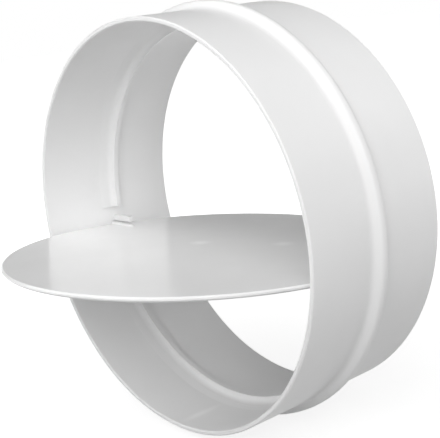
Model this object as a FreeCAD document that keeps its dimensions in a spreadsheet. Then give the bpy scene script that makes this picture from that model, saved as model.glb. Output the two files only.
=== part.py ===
import FreeCAD, Part
import Sketcher
import math
import os

# A push-in connector for round plastic ducts, with a butterfly flap that shuts against back
# draught. The sleeve is one moulding: two spigots, a bead between them that both ducts butt
# against, two half ribs inside that the shut flap lands on, and a snap-in bearing on each side.
# The flap is a second moulding: a disc hung below its middle, with a pin on each side.
#
# Frame: +Y runs along the duct axis from the front mouth to the rear mouth, +Z is up and the
# origin is the centre of the bead, so the flap's pivot axis lies right below it. At rest the flap
# is open, its larger part to the front.

DRIVING_SIZES = (
    # Sleeve
    ("spigot_radius", 74.5, "outside of both spigots, which slide into a 150 mm duct"),
    ("wall", 1.7, "wall of the spigots"),
    ("spigot_length", 25.85, "from a mouth to the foot of the bead"),
    ("mouth_chamfer", 0.4, "chamfer of the edges of both mouths"),
    ("bead_height", 2.9, "how far the bead stands out from the spigots"),
    ("bead_crest_flat", 0.3, "width of the flat strip along the bead's crest"),
    ("bead_crest_round", 1.8, "radius of the rounds beside that strip"),
    ("bead_foot_round", 2.6, "radius of the hollow between a flank of the bead and a spigot"),
    ("bead_slope", 50.0, "slope of the bead's flanks"),
    # Half ribs inside the sleeve
    ("seat_overlap", 1.9, "how far the shut disc reaches over the crest of a rib"),
    ("rib_crest", 1.8, "width of a rib's flat crest"),
    ("rib_face", 2.75, "length of the hollow face in front of the crest"),
    ("rib_lead", 2.9, "length of the shallow slope in front of that face"),
    ("rib_lead_rise", 0.5, "how far that slope rises from the bore"),
    ("upper_seat_gap", 0.9, "from the shut disc's rear face to the upper rib's crest"),
    ("lower_seat_gap", 0.3, "from the shut disc's front face to the lower rib"),
    ("upper_rib_drop", 4.0, "how far the ends of the upper rib reach below the duct axis"),
    ("stop_gap", 0.65, "from the open disc's underside to the ends of the lower rib"),
    # Flap
    ("rim_gap", 1.2, "from the disc's rim to the bore of the sleeve"),
    ("disc_thickness", 1.6, "thickness of the disc"),
    ("disc_chamfer", 0.55, "chamfer of the disc's rim"),
    ("pivot_drop", 11.85, "from the duct axis down to the pivot axis"),
    ("open_angle", 85.9, "turn of the flap from shut to open"),
    ("pin_radius", 1.5, "radius of a pivot pin"),
    ("pin_root", 12.8, "how far a pin runs back into the disc"),
    ("pin_reach", 2.3, "how far a pin enters the wall of the sleeve"),
    ("pin_chamfer", 0.35, "chamfer of a pin's tip"),
    # Snap-in bearings
    ("pin_play", 0.05, "radial play of a pin in its seat"),
    ("pin_end_play", 0.25, "from a pin's tip to the floor of its seat"),
    ("channel_play", 0.2, "from the side of a pin to the side of its entry channel"),
    ("channel_skin", 0.85, "wall left outside the entry channel, at the pivot"),
    ("channel_length", 10.0, "from the pivot axis to the rear end of the entry channel"),
    ("guard_gap", 0.35, "from the shut disc's rear face to the front of a guard bar"),
    ("guard_lift", 0.5, "from the top of a pin to the underside of its guard bar"),
    ("guard_height", 2.1, "height of a guard bar"),
    ("guard_depth", 1.5, "depth of a guard bar along the duct"),
    ("guard_reach", 10.4, "how far a guard bar stands in from the bore, at the pivot"),
)

document = FreeCAD.newDocument("duct_connector_with_flap")
sizes = document.addObject("Spreadsheet::Sheet", "sizes")
for row, (alias, value, meaning) in enumerate(DRIVING_SIZES, start=1):
    sizes.set(f"A{row}", meaning)
    sizes.set(f"B{row}", str(value))
    sizes.setAlias(f"B{row}", alias)
document.recompute()

# Sizes that follow from the driving ones, as expressions
BORE = "(sizes.spigot_radius - sizes.wall)"
BEAD_ROUNDS = "(sizes.bead_crest_round + sizes.bead_foot_round)"
BEAD_FLANK_RISE = f"(sizes.bead_height - {BEAD_ROUNDS} * (1 - cos(sizes.bead_slope)))"
BEAD_FLANK_RUN = f"({BEAD_FLANK_RISE} / tan(sizes.bead_slope))"
BEAD_SHOULDER_Y = "(sizes.bead_crest_flat / 2 + sizes.bead_crest_round * sin(sizes.bead_slope))"
BEAD_FOOT_Y = f"({BEAD_SHOULDER_Y} + {BEAD_FLANK_RUN})"
BEAD_REACH = f"({BEAD_FOOT_Y} + sizes.bead_foot_round * sin(sizes.bead_slope))"
MOUTH = f"({BEAD_REACH} + sizes.spigot_length)"

DISC_RADIUS = f"({BORE} - sizes.rim_gap)"
DISC_HALF = "(sizes.disc_thickness / 2)"
RIB_CREST_RADIUS = f"({DISC_RADIUS} - sizes.seat_overlap)"
RIB_HEIGHT = f"({BORE} - {RIB_CREST_RADIUS})"
RIB_ROOT_RADIUS = f"({BORE} + sizes.wall / 2)"
RIB_FACE_HEIGHT = f"({RIB_HEIGHT} - sizes.rib_lead_rise)"
RIB_FACE_RADIUS = f"((sizes.rib_face ^ 2 + {RIB_FACE_HEIGHT} ^ 2) / (2 * {RIB_FACE_HEIGHT}))"

PIVOT_Z = "(-sizes.pivot_drop)"
TILT = "(90 - sizes.open_angle)"
UPPER_CREST_FRONT = f"({DISC_HALF} + sizes.upper_seat_gap)"
LOWER_CREST_FRONT = f"(-{DISC_HALF} - sizes.lower_seat_gap - sizes.rib_crest)"
LOWER_RIB_DROP = f"(sizes.pivot_drop + {DISC_HALF} / cos({TILT}) + sizes.stop_gap)"
UPPER_RIB_TURN = f"180 + 2 * asin(sizes.upper_rib_drop / {BORE}) / 1 deg"
LOWER_RIB_TURN = f"180 - 2 * asin({LOWER_RIB_DROP} / {RIB_CREST_RADIUS}) / 1 deg"

# Distances from the middle plane of the sleeve out to a surface, at the height of the pivot
BORE_AT_PIVOT = f"sqrt({BORE} ^ 2 - sizes.pivot_drop ^ 2)"
SKIN_AT_PIVOT = "sqrt(sizes.spigot_radius ^ 2 - sizes.pivot_drop ^ 2)"
RIM_AT_PIVOT = f"sqrt({DISC_RADIUS} ^ 2 - sizes.pivot_drop ^ 2)"
PIN_START = f"({RIM_AT_PIVOT} - sizes.pin_root)"
PIN_TIP = f"({BORE_AT_PIVOT} + sizes.pin_reach)"
SEAT_FLOOR = f"({PIN_TIP} + sizes.pin_end_play)"
CHANNEL_FLOOR = f"({SKIN_AT_PIVOT} - sizes.channel_skin)"
CHANNEL_HALF = "(sizes.pin_radius + sizes.channel_play)"

GUARD_TIP = f"({BORE_AT_PIVOT} - sizes.guard_reach)"
GUARD_FRONT = f"({DISC_HALF} + sizes.guard_gap)"
GUARD_REAR = f"({GUARD_FRONT} + sizes.guard_depth)"
GUARD_BOTTOM = f"({PIVOT_Z} + sizes.pin_radius + sizes.guard_lift)"
GUARD_TOP = f"({GUARD_BOTTOM} + sizes.guard_height)"


def number(expression):
    """The value of an expression on the sheet, as a plain number."""
    result = sizes.evalExpression(expression)
    return float(getattr(result, "Value", result))


def new_body(name):
    """An empty sub-part, whose label names its file."""
    body = document.addObject("PartDesign::Body", name)
    body.Label = name
    return body


def plane_of(body, role):
    return next(feature for feature in body.Origin.OriginFeatures if feature.Role == role)


def new_sketch(body, name, role, offset=None):
    """A sketch on one of the body's own origin planes, or at an offset in front of it."""
    sketch = body.newObject("Sketcher::SketchObject", name)
    sketch.AttachmentSupport = (plane_of(body, role), [""])
    sketch.MapMode = "FlatFace"
    if offset:
        sketch.setExpression("AttachmentOffset.Base.z", offset)
    return sketch


def hold(sketch, kind, place, expression):
    """One dimension of a sketch, bound to the sheet."""
    index = sketch.addConstraint(Sketcher.Constraint(kind, *place, number(expression)))
    sketch.setExpression(f"Constraints[{index}]", expression)


def arc_between(start, end, radius, side):
    """The shorter arc from start to end that turns to the given side."""
    chord = end - start
    middle = (start + end) / 2
    to_left = FreeCAD.Vector(-chord.y, chord.x, 0).normalize()
    height = math.sqrt(max(radius ** 2 - (chord.Length / 2) ** 2, 0))
    centre = middle + to_left * (height if side == "left" else -height)
    first, last = (start, end) if side == "left" else (end, start)
    angles = [math.atan2(point.y - centre.y, point.x - centre.x) for point in (first, last)]
    return Part.ArcOfCircle(Part.Circle(centre, FreeCAD.Vector(0, 0, 1), radius), *angles)


def draw_outline(sketch, corners, arcs=None):
    """A closed outline. Each corner is a pair of expressions. arcs gives an edge, by the number of
    its first corner, a radius and the side it turns to. Every other edge is straight."""
    arcs = arcs or {}
    points = [FreeCAD.Vector(number(across), number(up), 0) for across, up in corners]
    ends = []
    for i, start in enumerate(points):
        end = points[(i + 1) % len(points)]
        if i not in arcs:
            ends.append((sketch.addGeometry(Part.LineSegment(start, end)), 1, 2))
            continue
        radius, side = arcs[i]
        edge = sketch.addGeometry(arc_between(start, end, number(radius), side))
        ends.append((edge, 1, 2) if side == "left" else (edge, 2, 1))
    for i, (edge, _, end) in enumerate(ends):
        after, start, _ = ends[(i + 1) % len(ends)]
        sketch.addConstraint(Sketcher.Constraint("Coincident", edge, end, after, start))
    for (across, up), (edge, start, _) in zip(corners, ends):
        hold(sketch, "DistanceX", (-1, 1, edge, start), across)
        hold(sketch, "DistanceY", (-1, 1, edge, start), up)
    for i, (radius, _) in arcs.items():
        hold(sketch, "Radius", (ends[i][0],), radius)


def draw_circle(sketch, across, up, radius):
    """A circle about a centre that is given by a pair of expressions."""
    centre = FreeCAD.Vector(number(across), number(up), 0)
    circle = sketch.addGeometry(Part.Circle(centre, FreeCAD.Vector(0, 0, 1), number(radius)))
    hold(sketch, "DistanceX", (-1, 1, circle, 3), across)
    hold(sketch, "DistanceY", (-1, 1, circle, 3), up)
    hold(sketch, "Radius", (circle,), radius)


def revolve(body, name, sketch, turn=None):
    """A full turn of a sketch about its horizontal axis, or a part turn, as much to each side."""
    feature = body.newObject("PartDesign::Revolution", name)
    feature.Profile = sketch
    feature.ReferenceAxis = (sketch, ["H_Axis"])
    if turn:
        feature.Midplane = True
        feature.setExpression("Angle", turn)
    return feature


def cut_across(body, name, sketch, half_length):
    """A cut as deep on both sides of the sleeve's middle plane."""
    feature = body.newObject("PartDesign::Pocket", name)
    feature.Profile = sketch
    feature.Midplane = True
    feature.setExpression("Length", f"2 * {half_length}")
    return feature


def mirror_across(body, name, originals):
    """The same features on the other side of the middle plane."""
    feature = body.newObject("PartDesign::Mirrored", name)
    feature.Originals = originals
    feature.MirrorPlane = (plane_of(body, "YZ_Plane"), [""])
    body.Tip = feature
    return feature


def add_shell(sleeve):
    """Both spigots and the bead between them, as one turned section."""
    profile = new_sketch(sleeve, "shell_section", "YZ_Plane")
    outside = "sizes.spigot_radius"
    crest = f"({outside} + sizes.bead_height)"
    crest_corner = "sizes.bead_crest_flat / 2"
    shoulder_z = f"({crest} - sizes.bead_crest_round * (1 - cos(sizes.bead_slope)))"
    foot_z = f"({outside} + sizes.bead_foot_round * (1 - cos(sizes.bead_slope)))"
    mouth_corner = f"({MOUTH} - sizes.mouth_chamfer)"
    rim_outside = f"{outside} - sizes.mouth_chamfer"
    rim_inside = f"{BORE} + sizes.mouth_chamfer"
    corners = [
        (f"-{mouth_corner}", outside), (f"-{BEAD_REACH}", outside), (f"-{BEAD_FOOT_Y}", foot_z),
        (f"-{BEAD_SHOULDER_Y}", shoulder_z), (f"-{crest_corner}", crest), (crest_corner, crest),
        (BEAD_SHOULDER_Y, shoulder_z), (BEAD_FOOT_Y, foot_z), (BEAD_REACH, outside),
        (mouth_corner, outside),
        (MOUTH, rim_outside), (MOUTH, rim_inside), (mouth_corner, BORE),
        (f"-{mouth_corner}", BORE), (f"-{MOUTH}", rim_inside), (f"-{MOUTH}", rim_outside),
    ]
    foot = ("sizes.bead_foot_round", "left")
    shoulder = ("sizes.bead_crest_round", "right")
    draw_outline(profile, corners, {1: foot, 3: shoulder, 5: shoulder, 7: foot})
    revolve(sleeve, "shell", profile)


def add_half_rib(sleeve, name, crest_front, turn, upside_down):
    """A half rib: a shallow slope, then a hollow face up to a flat crest with a sharp rear
    edge."""
    profile = new_sketch(sleeve, f"{name}_section", "YZ_Plane")
    if upside_down:
        half_turn = FreeCAD.Rotation(FreeCAD.Vector(1, 0, 0), 180)
        profile.AttachmentOffset = FreeCAD.Placement(FreeCAD.Vector(), half_turn)
    face_front = f"({crest_front} - sizes.rib_face)"
    lead_front = f"{face_front} - sizes.rib_lead"
    crest_rear = f"{crest_front} + sizes.rib_crest"
    corners = [
        (lead_front, RIB_ROOT_RADIUS), (lead_front, BORE),
        (face_front, f"{BORE} - sizes.rib_lead_rise"), (crest_front, RIB_CREST_RADIUS),
        (crest_rear, RIB_CREST_RADIUS), (crest_rear, RIB_ROOT_RADIUS),
    ]
    draw_outline(profile, corners, {2: (RIB_FACE_RADIUS, "right")})
    revolve(sleeve, name, profile, turn)


def add_bearings(sleeve):
    """The snap-in bearings. On each side a channel open to the rear leads a pin in along the
    wall, the pin springs out into a deeper round seat, and a bar above it guards the seat."""
    outline = new_sketch(sleeve, "guard_outline", "YZ_Plane", GUARD_TIP)
    draw_outline(outline, [(GUARD_FRONT, GUARD_BOTTOM), (GUARD_REAR, GUARD_BOTTOM),
                           (GUARD_REAR, GUARD_TOP), (GUARD_FRONT, GUARD_TOP)])
    guard = sleeve.newObject("PartDesign::Pad", "guard_bar")
    guard.Profile = outline
    guard.Type = "UpToFirst"
    mirror_across(sleeve, "guard_bars", [guard])

    channel = new_sketch(sleeve, "channel_outline", "YZ_Plane")
    channel_low = f"{PIVOT_Z} - {CHANNEL_HALF}"
    channel_high = f"{PIVOT_Z} + {CHANNEL_HALF}"
    draw_outline(channel, [("0", channel_low), ("sizes.channel_length", channel_low),
                           ("sizes.channel_length", channel_high), ("0", channel_high)])
    cut_across(sleeve, "entry_channels", channel, CHANNEL_FLOOR)

    seat = new_sketch(sleeve, "seat_circle", "YZ_Plane")
    draw_circle(seat, "0", PIVOT_Z, "sizes.pin_radius + sizes.pin_play")
    cut_across(sleeve, "pin_seats", seat, SEAT_FLOOR)


def build_sleeve():
    sleeve = new_body("sleeve")
    add_shell(sleeve)
    add_half_rib(sleeve, "upper_rib", UPPER_CREST_FRONT, UPPER_RIB_TURN, upside_down=False)
    add_half_rib(sleeve, "lower_rib", LOWER_CREST_FRONT, LOWER_RIB_TURN, upside_down=True)
    add_bearings(sleeve)
    return sleeve


def build_flap():
    """The flap, drawn about its own pivot axis as X with the disc in the XY plane, and then
    placed open in the sleeve."""
    flap = new_body("flap")
    disc_circle = new_sketch(flap, "disc_circle", "XY_Plane")
    draw_circle(disc_circle, "0", PIVOT_Z, DISC_RADIUS)
    disc = flap.newObject("PartDesign::Pad", "disc")
    disc.Profile = disc_circle
    disc.Midplane = True
    disc.setExpression("Length", "sizes.disc_thickness")
    document.recompute()
    rim_edges = [f"Edge{i}" for i, edge in enumerate(disc.Shape.Edges, start=1)
                 if isinstance(edge.Curve, Part.Circle)]
    rim = flap.newObject("PartDesign::Chamfer", "rim")
    rim.Base = (disc, rim_edges)
    rim.setExpression("Size", "sizes.disc_chamfer")

    pin_section = new_sketch(flap, "pin_section", "XY_Plane")
    chamfer_start = f"{PIN_TIP} - sizes.pin_chamfer"
    corners = [
        (PIN_START, "0"), (PIN_TIP, "0"), (PIN_TIP, "sizes.pin_radius - sizes.pin_chamfer"),
        (chamfer_start, "sizes.pin_radius"), (f"{PIN_START} + sizes.pin_radius", "sizes.pin_radius"),
    ]
    draw_outline(pin_section, corners, {4: ("sizes.pin_radius", "left")})
    pin = revolve(flap, "pin", pin_section)
    mirror_across(flap, "pins", [pin])

    flap.Placement.Rotation = FreeCAD.Rotation(FreeCAD.Vector(1, 0, 0), number(TILT))
    flap.setExpression("Placement.Base.z", PIVOT_Z)
    flap.setExpression("Placement.Rotation.Angle", f"-{TILT}")
    return flap


parts = [build_sleeve(), build_flap()]
document.recompute()

failed = [item.Name for item in document.Objects if {"Invalid", "Error"} & set(item.State)]
if failed:
    raise RuntimeError(f"objects that failed: {failed}")
for part in parts:
    if part.Shape.isNull() or not part.Shape.isValid():
        raise RuntimeError(f"{part.Label} has no valid shape")

os.makedirs("parts", exist_ok=True)
for part in parts:
    part.Shape.exportStep(os.path.join("parts", f"{part.Label}.step"))
    solids = len(part.Shape.Solids)
    print(f"{part.Label}: {solids} solid, {part.Shape.Volume:.1f} mm3, {part.Shape.BoundBox}")
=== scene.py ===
import math

import bmesh
import bpy
from mathutils import Euler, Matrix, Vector


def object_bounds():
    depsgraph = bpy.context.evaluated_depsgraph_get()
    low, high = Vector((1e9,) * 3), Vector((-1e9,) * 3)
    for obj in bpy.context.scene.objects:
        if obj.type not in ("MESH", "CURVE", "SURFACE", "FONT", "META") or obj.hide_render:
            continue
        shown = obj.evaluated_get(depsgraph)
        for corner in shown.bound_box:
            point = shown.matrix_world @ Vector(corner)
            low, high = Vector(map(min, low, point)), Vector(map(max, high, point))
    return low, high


# The white plastic duct connector with its flap open, on a white floor, seen from the front
# and the right. Lengths are in metres.

CAMERA_PLACE = (0.27627, -0.23393, 0.07888)
CAMERA_TURN = (77.325, 6.045, 48.554)
LENS = 82.05
SENSOR_WIDTH = 36.0

FLOOR_HALF_WIDTH = 3.0
FLOOR_COLOUR = (0.33, 0.33, 0.33, 1.0)
# The share of plain white that the floor shows under the object and away from it
WHITE_NEAR = 0.82
WHITE_FAR = 1.0
NEAR_RADIUS = 0.10
FAR_RADIUS = 0.35

# The studio is white up to a little above the horizon, and darker above that. Reflections show
# it so, the camera sees plain white, and only a little of it lights the object.
WORLD_LIGHT = 0.01
ROOM_BRIGHTNESS = 0.10
WHITE_TOP = 0.06
ROOM_BOTTOM = 0.14

# Each lamp is a square softbox aimed at the middle of the object: name, the direction it stands
# in (degrees from +X towards +Y), its height (degrees), and its power in watts.
LAMP_DISTANCE = 1.6
LAMP_SIZE = 1.6
LAMPS = (
    ("camera_low", 315, 12, 13.2),
    ("camera_high", 315, 45, 10.6),
    ("front_high", 290, 45, 4.8),
    ("front_top", 270, 68, 5.0),
    ("left_low", 225, 12, 6.2),
    ("left_high", 225, 45, 7.1),
    ("right_low", 45, 12, 6.0),
    ("right_high", 60, 28, 5.1),
)

WHITE = (1.0, 1.0, 1.0, 1.0)
PLASTIC = (0.87, 0.87, 0.87, 1.0)
PLASTIC_SHADE = (0.845, 0.845, 0.845, 1.0)
# The lighter colour of the moulding marks: a painted highlight
PLASTIC_MARK_HIGHLIGHT = (0.96, 0.96, 0.96, 1.0)

# How many patches of colour, of polish and of grain come to a metre, how finely each is broken
# up, and the part of each noise's range that makes the whole change
CLOUD_SCALE, CLOUD_DETAIL, CLOUD_RANGE = 22.0, 3.0, (0.35, 0.65)
POLISH_SCALE, POLISH_DETAIL, POLISH_RANGE = 90.0, 4.0, (0.3, 0.7)
GRAIN_SCALE, GRAIN_DETAIL, GRAIN_ROUGHNESS = 1600.0, 2.0, 0.6

# The least and the greatest roughness, and the depth of the grain. The flap is the glossier one.
SLEEVE_ROUGHNESS, SLEEVE_GRAIN_DEPTH = (0.30, 0.38), 1.5e-6
FLAP_ROUGHNESS, FLAP_GRAIN_DEPTH = (0.17, 0.21), 1e-6

# The faint light marks that moulding left, made lighter by a painted highlight, each as its middle
# and its half size along X, Y and Z: a weld line along the bottom of the bore, and two round
# ejector marks on top of the flap
SLEEVE_MARK_HIGHLIGHTS = (((-0.0015, -0.0195, -0.0728), (0.0026, 0.0125, 0.0040)),)
FLAP_MARK_HIGHLIGHTS = (((-0.0073, -0.0058, -0.0106), (0.0055, 0.0055, 0.0015)),
              ((0.0201, 0.0103, -0.0118), (0.0055, 0.0055, 0.0015)))

# A Mix node's sockets for colours, which share their names with its sockets for numbers
MIX_FIRST, MIX_SECOND, MIX_RESULT = 6, 7, 2


def place_camera():
    data = bpy.data.cameras.new("camera")
    data.lens = LENS
    data.sensor_width = SENSOR_WIDTH
    camera = bpy.data.objects.new("camera", data)
    camera.location = CAMERA_PLACE
    camera.rotation_euler = Euler([math.radians(angle) for angle in CAMERA_TURN])
    bpy.context.scene.collection.objects.link(camera)
    bpy.context.scene.camera = camera


def place_lamp(name, direction, height, power):
    data = bpy.data.lights.new(name, "AREA")
    data.size = LAMP_SIZE
    data.energy = power
    lamp = bpy.data.objects.new(name, data)
    turn = Euler((0, math.radians(90 - height), math.radians(direction)))
    lamp.rotation_euler = turn
    lamp.location = turn.to_matrix() @ Vector((0, 0, LAMP_DISTANCE))
    bpy.context.scene.collection.objects.link(lamp)


def add_node(tree, kind, label, settings=None, values=None):
    """A node with its settings and with the values of its unlinked inputs."""
    node = tree.nodes.new(kind)
    node.name = label
    node.label = label
    for key, value in (settings or {}).items():
        setattr(node, key, value)
    for key, value in (values or {}).items():
        node.inputs[key].default_value = value
    return node


def mirrored_rays(tree, rays):
    """1 for rays that a mirror or a clear body sends on, else 0."""
    either = add_node(tree, "ShaderNodeMath", "mirrored rays", {"operation": "MAXIMUM"})
    tree.links.new(rays.outputs["Is Glossy Ray"], either.inputs[0])
    tree.links.new(rays.outputs["Is Transmission Ray"], either.inputs[1])
    return either.outputs[0]


def light_world():
    world = bpy.data.worlds.new("studio")
    world.use_nodes = True
    bpy.context.scene.world = world
    tree = world.node_tree
    tree.nodes.clear()
    rays = add_node(tree, "ShaderNodeLightPath", "rays")
    soft = add_node(tree, "ShaderNodeBackground", "soft light",
                    values={"Color": WHITE, "Strength": WORLD_LIGHT})
    seen = add_node(tree, "ShaderNodeBackground", "seen by the camera", values={"Color": WHITE})
    place = add_node(tree, "ShaderNodeTexCoord", "direction")
    split = add_node(tree, "ShaderNodeSeparateXYZ", "height of the direction")
    fade = add_node(tree, "ShaderNodeMapRange", "white sweep to darker room",
                    {"interpolation_type": "SMOOTHSTEP"},
                    {"From Min": WHITE_TOP, "From Max": ROOM_BOTTOM,
                     "To Min": 1.0, "To Max": ROOM_BRIGHTNESS})
    mirrored = add_node(tree, "ShaderNodeBackground", "seen in reflections",
                        values={"Color": WHITE})
    mix_mirrored = add_node(tree, "ShaderNodeMixShader", "mix in reflections")
    mix_seen = add_node(tree, "ShaderNodeMixShader", "mix in the camera's view")
    output = add_node(tree, "ShaderNodeOutputWorld", "world")
    tree.links.new(place.outputs["Generated"], split.inputs[0])
    tree.links.new(split.outputs["Z"], fade.inputs["Value"])
    tree.links.new(fade.outputs["Result"], mirrored.inputs["Strength"])
    tree.links.new(mirrored_rays(tree, rays), mix_mirrored.inputs["Fac"])
    tree.links.new(soft.outputs[0], mix_mirrored.inputs[1])
    tree.links.new(mirrored.outputs[0], mix_mirrored.inputs[2])
    tree.links.new(rays.outputs["Is Camera Ray"], mix_seen.inputs["Fac"])
    tree.links.new(mix_mirrored.outputs[0], mix_seen.inputs[1])
    tree.links.new(seen.outputs[0], mix_seen.inputs[2])
    tree.links.new(mix_seen.outputs[0], output.inputs["Surface"])


def lay_floor(height):
    shape = bmesh.new()
    bmesh.ops.create_grid(shape, x_segments=1, y_segments=1, size=FLOOR_HALF_WIDTH)
    bmesh.ops.translate(shape, vec=(0, 0, height), verts=shape.verts)
    mesh = bpy.data.meshes.new("floor")
    shape.to_mesh(mesh)
    shape.free()
    floor = bpy.data.objects.new("floor", mesh)
    bpy.context.scene.collection.objects.link(floor)
    material = bpy.data.materials.new("white_floor")
    material.use_nodes = True
    tree = material.node_tree
    tree.nodes.clear()
    rays = add_node(tree, "ShaderNodeLightPath", "rays")
    place = add_node(tree, "ShaderNodeTexCoord", "place on the floor")
    distance = add_node(tree, "ShaderNodeVectorMath", "distance", {"operation": "DISTANCE"},
                        {1: (0, 0, height)})
    whiteness = add_node(tree, "ShaderNodeMapRange", "whiteness",
                         {"interpolation_type": "SMOOTHSTEP"},
                         {"From Min": NEAR_RADIUS, "From Max": FAR_RADIUS,
                          "To Min": WHITE_NEAR, "To Max": WHITE_FAR})
    seen = add_node(tree, "ShaderNodeMath", "seen rays", {"operation": "MAXIMUM"})
    share = add_node(tree, "ShaderNodeMath", "whiteness for seen rays", {"operation": "MULTIPLY"})
    paint = add_node(tree, "ShaderNodeBsdfDiffuse", "paint",
                     values={"Color": FLOOR_COLOUR})
    white = add_node(tree, "ShaderNodeEmission", "white")
    both = add_node(tree, "ShaderNodeAddShader", "paint and white")
    output = add_node(tree, "ShaderNodeOutputMaterial", "floor")
    tree.links.new(place.outputs["Object"], distance.inputs[0])
    tree.links.new(distance.outputs["Value"], whiteness.inputs["Value"])
    tree.links.new(rays.outputs["Is Camera Ray"], seen.inputs[0])
    tree.links.new(mirrored_rays(tree, rays), seen.inputs[1])
    tree.links.new(whiteness.outputs["Result"], share.inputs[0])
    tree.links.new(seen.outputs[0], share.inputs[1])
    tree.links.new(share.outputs[0], white.inputs["Strength"])
    tree.links.new(paint.outputs[0], both.inputs[0])
    tree.links.new(white.outputs[0], both.inputs[1])
    tree.links.new(both.outputs[0], output.inputs["Surface"])
    mesh.materials.append(material)


def new_group(name, inputs, outputs):
    """An empty node group with its sockets, and its two end nodes."""
    group = bpy.data.node_groups.new(name, "ShaderNodeTree")
    for socket, kind in inputs:
        group.interface.new_socket(socket, in_out="INPUT", socket_type=kind)
    for socket, kind in outputs:
        group.interface.new_socket(socket, in_out="OUTPUT", socket_type=kind)
    start = add_node(group, "NodeGroupInput", "inputs")
    end = add_node(group, "NodeGroupOutput", "outputs")
    return group, start, end


def moulded_skin():
    """The skin of a moulding: wide cloudy patches in its colour, smaller ones in its polish, and
    a fine grain that the steel of the mould leaves."""
    number, colour, vector = "NodeSocketFloat", "NodeSocketColor", "NodeSocketVector"
    group, start, end = new_group(
        "moulded_skin",
        [("Place", vector), ("Colour", colour), ("Shade", colour), ("Cloud scale", number),
         ("Smoothest", number), ("Roughest", number), ("Polish scale", number),
         ("Grain scale", number)],
        [("Colour", colour), ("Roughness", number), ("Height", number)])
    cloud = add_node(group, "ShaderNodeTexNoise", "cloudy patches",
                     values={"Detail": CLOUD_DETAIL})
    cloud_mask = add_node(group, "ShaderNodeMapRange", "cloud contrast",
                          values={"From Min": CLOUD_RANGE[0], "From Max": CLOUD_RANGE[1]})
    tint = add_node(group, "ShaderNodeMix", "cloudy colour", {"data_type": "RGBA"})
    polish = add_node(group, "ShaderNodeTexNoise", "patchy polish",
                      values={"Detail": POLISH_DETAIL})
    polish_range = add_node(group, "ShaderNodeMapRange", "polish range",
                            values={"From Min": POLISH_RANGE[0], "From Max": POLISH_RANGE[1]})
    grain = add_node(group, "ShaderNodeTexNoise", "fine grain",
                     values={"Detail": GRAIN_DETAIL, "Roughness": GRAIN_ROUGHNESS})
    for node, scale in ((cloud, "Cloud scale"), (polish, "Polish scale"), (grain, "Grain scale")):
        group.links.new(start.outputs["Place"], node.inputs["Vector"])
        group.links.new(start.outputs[scale], node.inputs["Scale"])
    group.links.new(cloud.outputs["Fac"], cloud_mask.inputs["Value"])
    group.links.new(cloud_mask.outputs["Result"], tint.inputs["Factor"])
    group.links.new(start.outputs["Colour"], tint.inputs[MIX_FIRST])
    group.links.new(start.outputs["Shade"], tint.inputs[MIX_SECOND])
    group.links.new(tint.outputs[MIX_RESULT], end.inputs["Colour"])
    group.links.new(polish.outputs["Fac"], polish_range.inputs["Value"])
    group.links.new(start.outputs["Smoothest"], polish_range.inputs["To Min"])
    group.links.new(start.outputs["Roughest"], polish_range.inputs["To Max"])
    group.links.new(polish_range.outputs["Result"], end.inputs["Roughness"])
    group.links.new(grain.outputs["Fac"], end.inputs["Height"])
    return group


def moulding_mark_highlight():
    """The mask of one soft round or long mark, for its painted highlight: 1 at its middle, 0 past
    its half size.
    """
    vector = "NodeSocketVector"
    group, start, end = new_group(
        "moulding_mark_highlight", [("Place", vector), ("Middle", vector), ("Half size", vector)],
        [("Mask", "NodeSocketFloat")])
    offset = add_node(group, "ShaderNodeVectorMath", "from the middle", {"operation": "SUBTRACT"})
    share = add_node(group, "ShaderNodeVectorMath", "share of the half size",
                     {"operation": "DIVIDE"})
    distance = add_node(group, "ShaderNodeVectorMath", "distance", {"operation": "LENGTH"})
    fade = add_node(group, "ShaderNodeMapRange", "soft edge", {"interpolation_type": "SMOOTHSTEP"},
                    {"From Min": 0.0, "From Max": 1.0, "To Min": 1.0, "To Max": 0.0})
    group.links.new(start.outputs["Place"], offset.inputs[0])
    group.links.new(start.outputs["Middle"], offset.inputs[1])
    group.links.new(offset.outputs[0], share.inputs[0])
    group.links.new(start.outputs["Half size"], share.inputs[1])
    group.links.new(share.outputs[0], distance.inputs[0])
    group.links.new(distance.outputs["Value"], fade.inputs["Value"])
    group.links.new(fade.outputs["Result"], end.inputs["Mask"])
    return group


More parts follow.
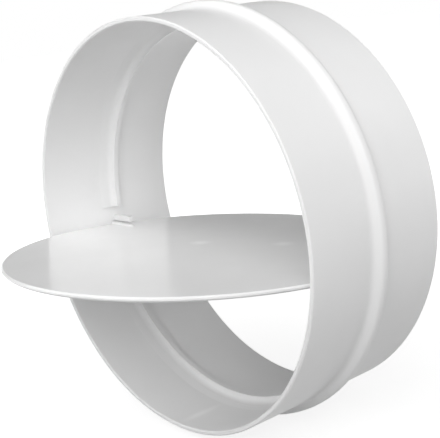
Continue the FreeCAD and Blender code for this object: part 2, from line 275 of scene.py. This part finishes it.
def plastic(name, skin, mark, marks, roughness, grain_depth):
    """A white plastic with the moulded skin, and its marks made lighter by a painted highlight."""
    material = bpy.data.materials.new(name)
    material.use_nodes = True
    tree = material.node_tree
    shader = tree.nodes["Principled BSDF"]
    place = add_node(tree, "ShaderNodeTexCoord", "place on the piece")
    surface = add_node(tree, "ShaderNodeGroup", "moulded skin", {"node_tree": skin},
                       {"Colour": PLASTIC, "Shade": PLASTIC_SHADE, "Cloud scale": CLOUD_SCALE,
                        "Smoothest": roughness[0], "Roughest": roughness[1],
                        "Polish scale": POLISH_SCALE, "Grain scale": GRAIN_SCALE})
    bump = add_node(tree, "ShaderNodeBump", "grain in relief", values={"Distance": grain_depth})
    tree.links.new(place.outputs["Object"], surface.inputs["Place"])
    colour = surface.outputs["Colour"]
    # Painted highlight: each moulding mark's colour is mixed towards the lighter mark colour
    for middle, half_size in marks:
        mask = add_node(tree, "ShaderNodeGroup", "painted highlight on a moulding mark", {"node_tree": mark},
                        {"Middle": middle, "Half size": half_size})
        lighter = add_node(tree, "ShaderNodeMix", "painted mark highlight", {"data_type": "RGBA"},
                           {MIX_SECOND: PLASTIC_MARK_HIGHLIGHT})
        tree.links.new(place.outputs["Object"], mask.inputs["Place"])
        tree.links.new(mask.outputs["Mask"], lighter.inputs["Factor"])
        tree.links.new(colour, lighter.inputs[MIX_FIRST])
        colour = lighter.outputs[MIX_RESULT]
    tree.links.new(colour, shader.inputs["Base Color"])
    tree.links.new(surface.outputs["Roughness"], shader.inputs["Roughness"])
    tree.links.new(surface.outputs["Height"], bump.inputs["Height"])
    tree.links.new(bump.outputs["Normal"], shader.inputs["Normal"])
    return material


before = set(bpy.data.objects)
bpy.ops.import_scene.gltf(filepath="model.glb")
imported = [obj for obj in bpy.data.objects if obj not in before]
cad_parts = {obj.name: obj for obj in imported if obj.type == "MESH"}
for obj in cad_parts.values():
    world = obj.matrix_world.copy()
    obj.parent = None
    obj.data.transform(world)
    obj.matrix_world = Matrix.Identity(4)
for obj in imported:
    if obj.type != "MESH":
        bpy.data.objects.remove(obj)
cad_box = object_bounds()

place_camera()
light_world()
for lamp in LAMPS:
    place_lamp(*lamp)
lay_floor(cad_box[0][2])

skin = moulded_skin()
mark = moulding_mark_highlight()
finishes = {
    "sleeve": plastic("sleeve_plastic", skin, mark, SLEEVE_MARK_HIGHLIGHTS, SLEEVE_ROUGHNESS,
                      SLEEVE_GRAIN_DEPTH),
    "flap": plastic("flap_plastic", skin, mark, FLAP_MARK_HIGHLIGHTS, FLAP_ROUGHNESS, FLAP_GRAIN_DEPTH),
}
for node, finish in finishes.items():
    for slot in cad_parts[node].material_slots:
        slot.material = finish

bpy.context.scene.view_settings.view_transform = "Standard"
